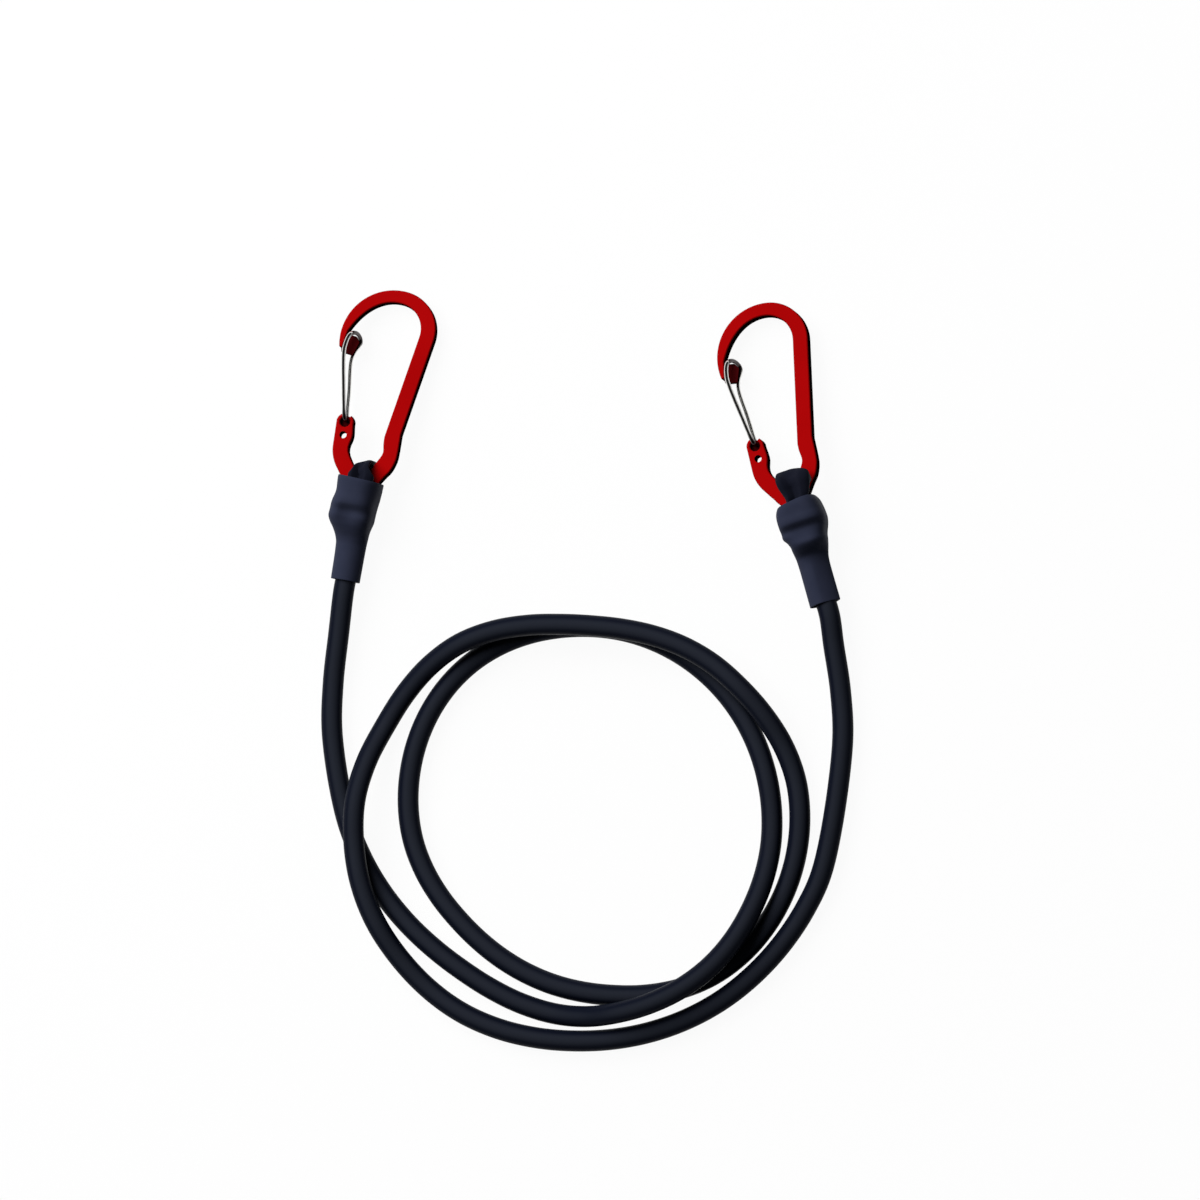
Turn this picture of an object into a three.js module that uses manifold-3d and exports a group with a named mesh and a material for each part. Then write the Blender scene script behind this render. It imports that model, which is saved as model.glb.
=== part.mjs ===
// Bungee cord: a rubber cord lying in a loose coil, with a carabiner on the folded loop at each end.
// Millimetres, +Z up. The cord and the sleeves lie on the floor at z = 0.
import * as THREE from "three";
import { mergeVertices } from "three/addons/utils/BufferGeometryUtils.js";
import Module from "manifold-3d";

const wasm = await Module();
wasm.setup();

const degrees = THREE.MathUtils.degToRad;
const smooth = THREE.MathUtils.smoothstep;
const mix = THREE.MathUtils.lerp;
const vec2 = (x, y) => new THREE.Vector2(x, y);
const vec3 = (x, y, z) => new THREE.Vector3(x, y, z);

// Air between pieces that touch, and under what lies on the floor
const FIT_GAP = 0.3;
const FLOOR_AIR = 0.05;
const WELD = 0.001;

// Rubber cord
const CORD_DIAMETER = 4.7;
const CORD_SIDES = 10;
const cordRadius = CORD_DIAMETER / 2;

// Coil: measured at every eighth of a turn, counterclockwise, from the left side where the cord comes in
const COIL_OFFSET = 0.6;
const COIL_DISTANCE = 83.9;
const COIL_CENTRE = vec2(COIL_OFFSET, -COIL_DISTANCE);
const COIL_START = 180;
const COIL_END = 1066;
const COIL_STEPS_PER_TURN = 60;
const EIGHTH = 45;
const COIL_RADII = [
  57.8, 47.3, 47.0, 46.6, 43.0, 41.9, 42.7, 44.8,
  42.8, 39.1, 41.5, 48.6, 49.6, 45.2, 42.6, 50.1,
  54.5, 55.3, 52.5, 54.1, 57.6,
];
const RADIUS_BEFORE_COIL = 74;
// Where a strand climbs over another: it leaves the floor, is up, starts down and is down, in degrees
const COIL_CLIMBS = [
  [258, 288, 320, 358],
  [728, 760, 840, 878],
  [874, 898, 918, 948],
];
const CROSSING_AIR = 0.6;

// Bars that the cord is looped on, one for each carabiner
const BAR_SPACING = 102.65;
const BARS_OFFSET = -1.385;
const LEFT_BAR_DISTANCE = 7.99;
const RIGHT_BAR_DISTANCE = 13.39;
const LEFT_BAR = vec2(BARS_OFFSET - BAR_SPACING / 2, -LEFT_BAR_DISTANCE);
const RIGHT_BAR = vec2(BARS_OFFSET + BAR_SPACING / 2, -RIGHT_BAR_DISTANCE);

// Free runs between each sleeve and the coil, measured from the bar, in the order they leave the sleeve
const LEFT_RUN = [vec3(-6.0, -33.5, 3.4), vec3(-7.6, -45.0, cordRadius), vec3(-7.8, -57.0, cordRadius)];
const RIGHT_RUN = [vec3(8.5, -33.1, 3.4), vec3(9.9, -44.1, cordRadius), vec3(10.3, -56.1, cordRadius)];
const RUN_STEPS = 22;

// Carabiner plate, drawn in its own plane with the bar that carries the cord at the origin
const PLATE_THICKNESS = 3.2;
const PLATE_BEVEL = 0.25;
const PLATE_STEP = 0.8;
const SPINE_EDGE = 5.05;
const SPINE_WIDTH = 3.5;
const SPINE_FOOT = 14.2;
const SPINE_INSIDE_FOOT = 12.6;
const BOW_HEIGHT = 37.1;
const BOW_RADIUS = 9.1;
const BOW_WIDTH = 3.0;
const BOW_TOUCH_STEPS = 12;
const NOSE_RADIUS = 12.4;
const LIP_WALL = 1.6;
const LIP_ANGLE = 201;
const LIP_LENGTH = 4.0;
const FOOT_CENTRE = vec2(-0.63, 2.42);
const FOOT_RADIUS = 4.39;
const FOOT_LEFT_ANGLE = 214.5;
const FOOT_RIGHT_ANGLE = 338;
const LANYARD_HOLE = vec2(-7.8, 10.0);
const LANYARD_HOLE_RADIUS = 0.85;
const LANYARD_HOLE_SIDES = 20;

// Free curves of the plate: the elbow under the spine, measured from the spine's edges, and the short arm
const ELBOW_INSIDE = [vec2(0.3, 11.0), vec2(0.9, 9.15), vec2(0.8, 8.0)];
const ELBOW_OUTSIDE = [vec2(-0.5, 3.4), vec2(0.5, 5.5), vec2(0.9, 8.0), vec2(0.7, 10.2)];
const ARM_INSIDE = [vec2(-5.2, 6.4), vec2(-5.7, 8.0), vec2(-5.6, 10.3)];
const ARM_OUTSIDE = [vec2(-9.7, 9.15), vec2(-9.0, 5.9), vec2(-7.8, 3.6), vec2(-6.1, 1.75)];
// How far the two handles of the nose's inner curve reach along it, across and up
const NOSE_FIRST_PULL = vec2(0.18, 0.66);
const NOSE_SECOND_PULL = 0.57;

// V-shaped eye above the bar
const EYE_CENTRE = vec2(-0.6, 2.9);
const EYE_RADIUS = 1.1;
const EYE_LEAN = 11.7;
const EYE_HALF_ANGLE = 31.0;
const EYE_RIGHT_WALL = 3.8;
const EYE_LEFT_WALL = 3.1;

// Tooth inside the lip, thinner than the plate, that the gate closes round
const TOOTH_THICKNESS = 1.6;
const TOOTH_REACH = 3.3;
const TOOTH_ROOT = 0.6;
const TOOTH_OVERHANG = 1.0;
const TOOTH_HEIGHT = 4.4;
const TOOTH_CORNER = 1.1;
const TOOTH_HEEL = 0.5;
const TOOTH_LEAN = 0.5;

// Wire gate and its open seat at the end of the short arm
const WIRE_DIAMETER = 1.0;
const WIRE_SIDES = 8;
const WIRE_STEPS = 72;
const TOE_OFFSET = 0.45;
const TOE_END = 0.45;
const TOE_BEND = vec2(0.15, 0.9);
const SEAT_CENTRE = vec2(-8.4, 13.0);
const SEAT_CLEARANCE = 0.25;
const SEAT_WALL = 0.85;
const SEAT_MOUTH = 0.85;
const SEAT_WEB = 0.3;
const SEAT_WEB_ROOT = 0.2;
const SEAT_LEAD_ANGLE = 60;
const GATE_BEND_DROP = 1.1;
const GATE_BEND_LENGTH = 2.1;
const GATE_BEND_BOW = 0.5;
const GATE_TOP_SPREAD = 0.2;
const GATE_CROWN = 1.3;
const GATE_CROWN_STEPS = 8;
const GATE_SKEW = 0.9;
const GATE_CROWN_SKEW = 2.1;

// Cord end folded over the bar: it widens as it flattens over the fold
const STRAP_WIDTH = 6.4;
const FOLD_WIDTH = 7.8;
const FOLD_STARTS = -1.0;
const STRAP_THICKNESS = 2.8;
const STRAP_SIDES = 16;
const LOOP_SIDE_AIR = 0.7;
const LOOP_TOP_AIR = 0.45;
const LOOP_CORNER = 0.5;
const FRONT_TAPER = [42, 82];
const BACK_TAPER = [15, 60];
const LOOP_BENDS = 8;
const STRAND_SPREAD = 1.6;
const STRAND_STEPS = 5;
const CORD_FLATTENS = 4.0;
const EYE_AIR = 0.7;

// Crimp band round both strands
const CRIMP_LENGTH = 4.0;
const CRIMP_WALL = 0.75;
const CRIMP_CORNER = 1.6;
const CRIMP_SLOT = 1.0;

// Shrink sleeve over the crimp
const SLEEVE_LENGTH = 23.6;
const SLEEVE_WALL = 0.6;
const SLEEVE_SIDES = 32;
const SLEEVE_SLACK = 0.2;
const SLEEVE_EXIT_DEPTH = 1.5;
const RIM_SQUARENESS = 4;
const CRIMP_SQUARENESS = 3.6;
const TAIL_SQUARENESS = 3;
const CORD_SQUARENESS = 2;
const CORD_DROP = 1.6;
const NOTCH_AIR = 1.1;
const NOTCH_FOOT = -0.2;

// The two ends: where the bar is, how the sleeve points, how the plate hangs on it, how thick the fold is,
// where the sleeve's rim and the crimp are along it, and how the crimp and the tail sit in the sleeve
const ENDS = [
  {
    side: "left", bar: LEFT_BAR, heading: -10.8, turn: -7.5, roll: 4.8, run: LEFT_RUN,
    foldThickness: 3.5, rim: 2.2, rimWidth: 5.45, rimOffset: 0.2, notched: true,
    crimpTop: -3.6, crimpOffset: -0.7, crimpSlack: 0.0, tailEnd: -9.0, tailOffset: -0.1, tailSlack: 0.0,
  },
  {
    side: "right", bar: RIGHT_BAR, heading: 16.4, turn: -12.8, roll: 0.8, run: RIGHT_RUN,
    foldThickness: 5.0, rim: -0.8, rimWidth: 4.45, rimOffset: 0.0, notched: false,
    crimpTop: -4.0, crimpOffset: 0.1, crimpSlack: 0.5, tailEnd: -12.2, tailOffset: 0.3, tailSlack: 0.2,
  },
];

// Colours
const RED_ANODISED = new THREE.MeshStandardMaterial({ color: 0xa80809, roughness: 0.35, metalness: 0.6 });
const STEEL = new THREE.MeshStandardMaterial({ color: 0xc9cbce, roughness: 0.2, metalness: 1.0 });
const RUBBER = new THREE.MeshStandardMaterial({ color: 0x17191f, roughness: 0.5, metalness: 0.0 });
const CRIMP_STEEL = new THREE.MeshStandardMaterial({ color: 0x9a9c9f, roughness: 0.4, metalness: 1.0 });
const SHRINK_TUBE = new THREE.MeshStandardMaterial({ color: 0x22252f, roughness: 0.55, metalness: 0.0 });

// Sizes that follow from those above
const quarter = Math.PI / 2;
const wireRadius = WIRE_DIAMETER / 2;
const plateHalf = PLATE_THICKNESS / 2;
const noseCentre = vec2(SPINE_EDGE - BOW_RADIUS, BOW_HEIGHT + BOW_RADIUS - NOSE_RADIUS);
const lipInside = noseCentre.x - NOSE_RADIUS + LIP_WALL;
const lipTip = noseCentre.y + NOSE_RADIUS * Math.sin(degrees(LIP_ANGLE));
const toothFoot = lipTip - TOOTH_OVERHANG;
const toothTop = toothFoot + TOOTH_HEIGHT;
const barTop = EYE_CENTRE.length() - EYE_RADIUS;
const loopInside = plateHalf + LOOP_SIDE_AIR;
const loopTop = barTop + LOOP_TOP_AIR;
const strandSplit = FIT_GAP / 2;
const crimpBoreWidth = STRAP_WIDTH / 2 + FIT_GAP;
const crimpBoreHeight = strandSplit + STRAP_THICKNESS + FIT_GAP;
const sleeveCover = FIT_GAP + SLEEVE_WALL;
const rimHalfHeight = loopInside + STRAP_THICKNESS + sleeveCover;
const seatRadius = TOE_OFFSET + wireRadius + SEAT_CLEARANCE;
const seatOutside = seatRadius + SEAT_WALL;
const gateLeg = plateHalf + FIT_GAP + wireRadius;
const gateReach = gateLeg + GATE_TOP_SPREAD + wireRadius;
const gateTop = toothTop + FIT_GAP + WIRE_DIAMETER;

// Closed skin over a list of rings with equal point counts; a tube unless the last ring joins the first
function loft(rings, joined = false) {
  const sides = rings[0].length;
  const points = rings.flat();
  const index = [];
  const bands = joined ? rings.length : rings.length - 1;
  for (let band = 0; band < bands; band += 1) {
    const here = band * sides;
    const next = ((band + 1) % rings.length) * sides;
    for (let side = 0; side < sides; side += 1) {
      const other = (side + 1) % sides;
      index.push(here + side, here + other, next + other);
      index.push(here + side, next + other, next + side);
    }
  }
  if (!joined) {
    const last = (rings.length - 1) * sides;
    for (let side = 1; side < sides - 1; side += 1) {
      index.push(0, side + 1, side);
      index.push(last, last + side, last + side + 1);
    }
  }
  const geometry = new THREE.BufferGeometry().setFromPoints(points);
  geometry.setIndex(index);
  geometry.computeVertexNormals();
  return geometry;
}

// Round tube through points, with rings carried along so that they do not twist
function tube(points, radius, sides) {
  const tangents = points.map((point, i) => {
    const before = points[Math.max(i - 1, 0)];
    const after = points[Math.min(i + 1, points.length - 1)];
    return after.clone().sub(before).normalize();
  });
  let across = vec3(0, 0, 1);
  if (Math.abs(tangents[0].z) > 0.9) across = vec3(1, 0, 0);
  const rings = points.map((point, i) => {
    across = across.clone().addScaledVector(tangents[i], -across.dot(tangents[i])).normalize();
    const other = tangents[i].clone().cross(across);
    const ring = [];
    for (let side = 0; side < sides; side += 1) {
      const angle = (2 * Math.PI * side) / sides;
      const out = across.clone().multiplyScalar(Math.cos(angle)).addScaledVector(other, Math.sin(angle));
      ring.push(point.clone().addScaledVector(out, radius));
    }
    return ring;
  });
  return loft(rings);
}

function toSolid(geometry) {
  const bare = geometry.clone();
  bare.deleteAttribute("normal");
  bare.deleteAttribute("uv");
  const mesh = mergeVertices(bare, WELD);
  return new wasm.Manifold(new wasm.Mesh({
    numProp: 3,
    vertProperties: mesh.getAttribute("position").array,
    triVerts: Uint32Array.from(mesh.index.array),
  }));
}

function toGeometry(solid) {
  const mesh = solid.getMesh();
  const geometry = new THREE.BufferGeometry();
  geometry.setAttribute("position", new THREE.BufferAttribute(mesh.vertProperties, 3));
  geometry.setIndex(new THREE.BufferAttribute(mesh.triVerts, 1));
  geometry.computeVertexNormals();
  return geometry;
}

// Coil radius at an angle, by a smooth curve through the measured eighths
function coilRadius(angle) {
  const place = (angle - COIL_START) / EIGHTH;
  const first = Math.min(Math.max(Math.floor(place), 0), COIL_RADII.length - 2);
  const part = place - first;
  const before = first > 0 ? COIL_RADII[first - 1] : RADIUS_BEFORE_COIL;
  const from = COIL_RADII[first];
  const to = COIL_RADII[first + 1];
  const after = COIL_RADII[Math.min(first + 2, COIL_RADII.length - 1)];
  const leaving = (to - before) / 2;
  const arriving = (after - from) / 2;
  const square = part * part;
  const cube = square * part;
  return from * (2 * cube - 3 * square + 1) + leaving * (cube - 2 * square + part)
    + to * (3 * square - 2 * cube) + arriving * (cube - square);
}

function coilHeight(angle) {
  const lift = CORD_DIAMETER + CROSSING_AIR;
  let height = cordRadius;
  for (const [leave, up, down, land] of COIL_CLIMBS) {
    const raised = smooth(angle, leave, up) - smooth(angle, down, land);
    height = Math.max(height, cordRadius + lift * raised);
  }
  return height;
}

function coilPoint(angle) {
  const radius = coilRadius(angle);
  return vec3(
    COIL_CENTRE.x + radius * Math.cos(degrees(angle)),
    COIL_CENTRE.y + radius * Math.sin(degrees(angle)),
    coilHeight(angle),
  );
}

function coilDirection(angle) {
  const ahead = coilPoint(angle + 1);
  return ahead.sub(coilPoint(angle - 1)).setZ(0).normalize();
}

// Coil centreline, straight for one diameter at each end
function coilPath() {
  const points = [];
  const steps = Math.round(((COIL_END - COIL_START) / 360) * COIL_STEPS_PER_TURN);
  for (let step = 0; step <= steps; step += 1) {
    points.push(coilPoint(mix(COIL_START, COIL_END, step / steps)));
  }
  const start = points[0].clone().addScaledVector(coilDirection(COIL_START), -CORD_DIAMETER);
  const end = points.at(-1).clone().addScaledVector(coilDirection(COIL_END), CORD_DIAMETER);
  return [start, ...points, end];
}

// Least air between strands of the coil, measured on its centreline
function leastGap(points) {
  const along = [0];
  for (let i = 1; i < points.length; i += 1) {
    along.push(along[i - 1] + points[i].distanceTo(points[i - 1]));
  }
  const nextStrand = 4 * CORD_DIAMETER;
  let least = Infinity;
  for (let i = 0; i < points.length - 1; i += 1) {
    const piece = new THREE.Line3(points[i], points[i + 1]);
    const nearest = vec3(0, 0, 0);
    for (let j = 0; j < points.length; j += 1) {
      if (Math.abs(along[j] - along[i]) < nextStrand) continue;
      piece.closestPointToPoint(points[j], true, nearest);
      least = Math.min(least, nearest.distanceTo(points[j]) - CORD_DIAMETER);
    }
  }
  return least;
}

// Free run from a sleeve's mouth to the end of the coil
function cordRun(mouth, outward, points, coilEnd, coilOutward) {
  const path = new THREE.CatmullRomCurve3([
    mouth.clone().addScaledVector(outward, FIT_GAP),
    mouth.clone().addScaledVector(outward, FIT_GAP + CORD_DIAMETER),
    ...points,
    coilEnd.clone().addScaledVector(coilOutward, FIT_GAP + CORD_DIAMETER),
    coilEnd.clone().addScaledVector(coilOutward, FIT_GAP),
  ]);
  const section = new THREE.Shape();
  for (let side = 0; side < CORD_SIDES; side += 1) {
    const angle = (2 * Math.PI * side) / CORD_SIDES;
    const place = vec2(cordRadius * Math.cos(angle), cordRadius * Math.sin(angle));
    if (side === 0) section.moveTo(place.x, place.y);
    else section.lineTo(place.x, place.y);
  }
  section.closePath();
  return new THREE.ExtrudeGeometry(section, { steps: RUN_STEPS, extrudePath: path });
}

function onCircle(centre, radius, angle) {
  return vec2(centre.x + radius * Math.cos(angle), centre.y + radius * Math.sin(angle));
}

// Outline as evenly spaced points, without the repeats where two curves join
function plainOutline(shape, step) {
  const points = shape.curves.flatMap((curve) => {
    const straight = curve.type === "LineCurve";
    return curve.getSpacedPoints(straight ? 1 : Math.ceil(curve.getLength() / step));
  });
  return new THREE.Shape(points.filter((point, i) => point.distanceTo(points.at(i - 1)) > WELD));
}

// Outline of the carabiner plate: one open C with the eye and the gate's seat at its foot
function plateOutline() {
  const spineInside = SPINE_EDGE - SPINE_WIDTH;
  const bowInsideRadius = BOW_RADIUS - BOW_WIDTH;
  const bowInside = vec2(spineInside - bowInsideRadius, BOW_HEIGHT);
  const bowTop = BOW_HEIGHT + bowInsideRadius;
  const lipTop = lipTip + LIP_LENGTH;
  const mouthAngle = Math.acos(SEAT_MOUTH / 2 / seatRadius);
  const leadAngle = degrees(SEAT_LEAD_ANGLE);
  const rightWall = degrees(90 + EYE_LEAN - EYE_HALF_ANGLE);
  const leftWall = degrees(90 + EYE_LEAN + EYE_HALF_ANGLE);
  const eyeStart = rightWall - quarter;
  const eyeEnd = leftWall + quarter - 2 * Math.PI;
  const footLeft = degrees(FOOT_LEFT_ANGLE);
  const footRight = degrees(FOOT_RIGHT_ANGLE);
  const eyeRight = onCircle(onCircle(EYE_CENTRE, EYE_RADIUS, eyeStart), EYE_RIGHT_WALL, rightWall);
  const eyeLeft = onCircle(onCircle(EYE_CENTRE, EYE_RADIUS, eyeEnd), EYE_LEFT_WALL, leftWall);
  const beside = (edge) => (point) => vec2(edge + point.x, point.y);
  const shape = new THREE.Shape();
  // Up the spine, over the bow and down to the tip of the lip
  shape.moveTo(SPINE_EDGE, SPINE_FOOT);
  shape.lineTo(SPINE_EDGE, BOW_HEIGHT);
  shape.absarc(noseCentre.x, BOW_HEIGHT, BOW_RADIUS, 0, quarter, false);
  shape.absarc(noseCentre.x, noseCentre.y, NOSE_RADIUS, quarter, degrees(LIP_ANGLE), false);
  shape.lineTo(lipInside, lipTip);
  // Up inside the lip, back under the bow and down inside the spine
  shape.lineTo(lipInside, lipTop);
  shape.bezierCurveTo(
    mix(lipInside, bowInside.x, NOSE_FIRST_PULL.x), mix(lipTop, bowTop, NOSE_FIRST_PULL.y),
    mix(lipInside, bowInside.x, NOSE_SECOND_PULL), bowTop,
    bowInside.x, bowTop,
  );
  shape.absarc(bowInside.x, bowInside.y, bowInsideRadius, quarter, 0, true);
  shape.lineTo(spineInside, SPINE_INSIDE_FOOT);
  shape.splineThru([...ELBOW_INSIDE.map(beside(spineInside)), eyeRight]);
  // Round the eye and up the short arm
  shape.absarc(EYE_CENTRE.x, EYE_CENTRE.y, EYE_RADIUS, eyeStart, eyeEnd, true);
  shape.lineTo(eyeLeft.x, eyeLeft.y);
  shape.splineThru([...ARM_INSIDE, vec2(SEAT_CENTRE.x + seatOutside, SEAT_CENTRE.y)]);
  // Round the seat with its open mouth
  shape.absarc(SEAT_CENTRE.x, SEAT_CENTRE.y, seatOutside, 0, leadAngle, false);
  shape.absarc(SEAT_CENTRE.x, SEAT_CENTRE.y, seatRadius, mouthAngle, Math.PI - mouthAngle, true);
  shape.absarc(SEAT_CENTRE.x, SEAT_CENTRE.y, seatOutside, Math.PI - leadAngle, Math.PI, false);
  // Down the short arm, round the foot and back to the spine
  shape.splineThru([...ARM_OUTSIDE, onCircle(FOOT_CENTRE, FOOT_RADIUS, footLeft)]);
  shape.absarc(FOOT_CENTRE.x, FOOT_CENTRE.y, FOOT_RADIUS, footLeft, footRight, false);
  shape.splineThru([...ELBOW_OUTSIDE.map(beside(SPINE_EDGE)), vec2(SPINE_EDGE, SPINE_FOOT)]);
  return shape;
}

// Tooth on the inside of the lip, with its free corner cut off where the gate's crown turns
function toothBlock() {
  const left = lipInside - TOOTH_ROOT;
  const right = lipInside + TOOTH_REACH;
  const shape = new THREE.Shape([
    vec2(left, toothTop),
    vec2(left, lipTip + TOOTH_HEEL),
    vec2(lipInside, toothFoot),
    vec2(right - TOOTH_LEAN, toothFoot),
    vec2(right, toothTop - TOOTH_CORNER),
    vec2(right - TOOTH_CORNER, toothTop),
  ]);
  const tooth = new THREE.ExtrudeGeometry(shape, { depth: TOOTH_THICKNESS, bevelEnabled: false });
  tooth.translate(0, 0, -TOOTH_THICKNESS / 2);
  return tooth;
}

// Thin web that closes the seat and its mouth between the gate's two toes
function seatWeb() {
  const round = new THREE.CylinderGeometry(
    seatRadius + SEAT_WEB_ROOT, seatRadius + SEAT_WEB_ROOT, SEAT_WEB, LANYARD_HOLE_SIDES,
  );
  round.rotateX(quarter);
  round.translate(SEAT_CENTRE.x, SEAT_CENTRE.y, 0);
  const height = seatOutside * Math.sin(degrees(SEAT_LEAD_ANGLE)) - SEAT_WEB_ROOT;
  const mouth = new THREE.BoxGeometry(SEAT_MOUTH + 2 * SEAT_WEB_ROOT, height, SEAT_WEB);
  mouth.translate(SEAT_CENTRE.x, SEAT_CENTRE.y + height / 2, 0);
  return toSolid(round).add(toSolid(mouth));
}

function carabinerFrame() {
  const plate = new THREE.ExtrudeGeometry(plainOutline(plateOutline(), PLATE_STEP), {
    depth: PLATE_THICKNESS - 2 * PLATE_BEVEL,
    bevelThickness: PLATE_BEVEL,
    bevelSize: PLATE_BEVEL,
    bevelOffset: -PLATE_BEVEL,
    bevelSegments: 1,
  });
  plate.translate(0, 0, PLATE_BEVEL - plateHalf);
  const drill = new THREE.CylinderGeometry(
    LANYARD_HOLE_RADIUS, LANYARD_HOLE_RADIUS, 2 * PLATE_THICKNESS, LANYARD_HOLE_SIDES,
  );
  drill.rotateX(quarter);
  drill.translate(LANYARD_HOLE.x, LANYARD_HOLE.y, 0);
  const solid = toSolid(plate).add(toSolid(toothBlock())).add(seatWeb());
  return toGeometry(solid.subtract(toSolid(drill)));
}

// One bent wire: two legs joined over the tooth, each with a toe turned into the seat
function gateWire() {
  const headZ = gateLeg + GATE_TOP_SPREAD;
  const headX = lipInside + FIT_GAP + wireRadius;
  const bend = lipTip - GATE_BEND_DROP;
  const crownFoot = gateTop - wireRadius - GATE_CROWN;
  const leg = (front) => {
    const toeY = SEAT_CENTRE.y + front * TOE_OFFSET;
    const x = front > 0 ? headX : headX + GATE_SKEW;
    const top = front > 0 ? headX : headX + GATE_CROWN_SKEW;
    return [
      vec3(SEAT_CENTRE.x, toeY, front * TOE_END),
      vec3(SEAT_CENTRE.x, toeY, front * (gateLeg - WIRE_DIAMETER)),
      vec3(SEAT_CENTRE.x - TOE_BEND.x / 2, toeY + TOE_BEND.x, front * (gateLeg - wireRadius / 2)),
      vec3(SEAT_CENTRE.x - TOE_BEND.y / 2, toeY + TOE_BEND.y, front * gateLeg),
      vec3(mix(SEAT_CENTRE.x, x, 0.5), mix(SEAT_CENTRE.y, bend, 0.5), front * mix(gateLeg, headZ, 0.5)),
      vec3(x + GATE_BEND_BOW, bend - GATE_BEND_LENGTH / 2, front * headZ),
      vec3(mix(x, top, 0.4), bend + GATE_BEND_LENGTH / 2, front * headZ),
      vec3(top, crownFoot - wireRadius, front * headZ),
    ];
  };
  const crown = [];
  for (let step = 1; step < GATE_CROWN_STEPS; step += 1) {
    const angle = (Math.PI * step) / GATE_CROWN_STEPS;
    const x = mix(headX, headX + GATE_CROWN_SKEW, step / GATE_CROWN_STEPS);
    crown.push(vec3(x, crownFoot + GATE_CROWN * Math.sin(angle), headZ * Math.cos(angle)));
  }
  const path = new THREE.CatmullRomCurve3([...leg(1), ...crown, ...leg(-1).reverse()]);
  return tube(path.getPoints(WIRE_STEPS), wireRadius, WIRE_SIDES);
}

// One flat ring of the folded cord, from its inside face outward in the y-z plane
function strapRing(middle, inside, out, thickness, insideWidth, outsideWidth) {
  const ring = [];
  for (let side = 0; side < STRAP_SIDES; side += 1) {
    const angle = (2 * Math.PI * side) / STRAP_SIDES;
    const depth = (1 - Math.cos(angle)) / 2;
    const x = middle + Math.sin(angle) * mix(insideWidth, outsideWidth, depth);
    ring.push(vec3(x, inside.x + out.x * thickness * depth, inside.y + out.y * thickness * depth));
  }
  return ring;
}

// Half-width that the V of the eye leaves at a height above the bar
function eyeRoom(y) {
  const apex = EYE_CENTRE.length() - EYE_RADIUS / Math.sin(degrees(EYE_HALF_ANGLE));
  return (y - apex) * Math.tan(degrees(EYE_HALF_ANGLE)) - EYE_AIR;
}

const sleeveFoot = (end) => end.rim - SLEEVE_LENGTH;
const cordMouth = (end) => sleeveFoot(end) + SLEEVE_EXIT_DEPTH;
const crimpFoot = (end) => end.crimpTop - CRIMP_LENGTH;
const strandsApart = (end) => end.crimpTop + STRAND_SPREAD;
const evenSteps = (count) => Array.from({ length: count + 1 }, (_, i) => i / count);

// How far the strands stand off the middle of the sleeve at a height
function offMiddle(end, y) {
  const overTail = smooth(y, end.tailEnd, crimpFoot(end));
  return end.crimpOffset * (overTail - smooth(y, end.crimpTop, strandsApart(end)));
}

// Cord end: up out of the sleeve, flattened over the bar through the eye, and back down to its tail
function cordLoop(end) {
  const half = STRAP_WIDTH / 2;
  const corner = vec2(loopTop - LOOP_CORNER, loopInside - LOOP_CORNER);
  const strand = (y, side) => {
    const inside = mix(strandSplit, loopInside, smooth(y, end.crimpTop, strandsApart(end)));
    const width = mix(half, FOLD_WIDTH / 2, smooth(y, FOLD_STARTS, corner.x));
    return strapRing(offMiddle(end, y), vec2(y, side * inside), vec2(0, side), STRAP_THICKNESS, width, width);
  };
  const bend = (angle, side) => {
    const out = vec2(Math.sin(angle), side * Math.cos(angle));
    const inside = vec2(corner.x, side * corner.y).addScaledVector(out, LOOP_CORNER);
    const [start, finish] = (side > 0 ? FRONT_TAPER : BACK_TAPER).map(degrees);
    const part = smooth(angle, start, finish);
    const thickness = mix(STRAP_THICKNESS, end.foldThickness, smooth(angle, 0, quarter));
    const insideWidth = mix(FOLD_WIDTH / 2, eyeRoom(loopTop), part);
    const outsideWidth = mix(FOLD_WIDTH / 2, eyeRoom(loopTop + end.foldThickness), part);
    return strapRing(0, inside, out, thickness, insideWidth, outsideWidth);
  };
  const flattening = (part) => {
    const y = mix(end.tailEnd - CORD_FLATTENS, end.tailEnd, part);
    const amount = smooth(part, 0, 1);
    const thickness = mix(CORD_DIAMETER, STRAP_THICKNESS, amount);
    const width = mix(cordRadius, half, amount);
    const inside = mix(cordRadius - CORD_DROP, -strandSplit, amount);
    return strapRing(offMiddle(end, y), vec2(y, inside), vec2(0, -1), thickness, width, width);
  };
  const spread = evenSteps(STRAND_STEPS).map((part) => end.crimpTop + part * STRAND_SPREAD);
  const heights = [end.tailEnd, crimpFoot(end), ...spread, mix(spread.at(-1), corner.x, 0.5), corner.x];
  const bends = evenSteps(LOOP_BENDS).slice(1).map((part) => quarter * part);
  const mouth = vec2(cordMouth(end), cordRadius - CORD_DROP);
  const rings = [strapRing(0, mouth, vec2(0, -1), CORD_DIAMETER, cordRadius, cordRadius)];
  for (const part of evenSteps(STRAND_STEPS).slice(0, -1)) rings.push(flattening(part));
  for (const y of heights) rings.push(strand(y, -1));
  for (const angle of bends) rings.push(bend(angle, -1));
  for (const angle of bends.toReversed()) rings.push(bend(angle, 1));
  for (const y of heights.toReversed()) rings.push(strand(y, 1));
  return loft(rings);
}

function roundedBox(halfWidth, halfHeight, radius) {
  const shape = new THREE.Shape();
  const corners = [[1, 1], [-1, 1], [-1, -1], [1, -1]];
  corners.forEach(([right, up], i) => {
    const centre = vec2(right * (halfWidth - radius), up * (halfHeight - radius));
    shape.absarc(centre.x, centre.y, radius, i * quarter, (i + 1) * quarter, false);
  });
  return shape;
}

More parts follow.
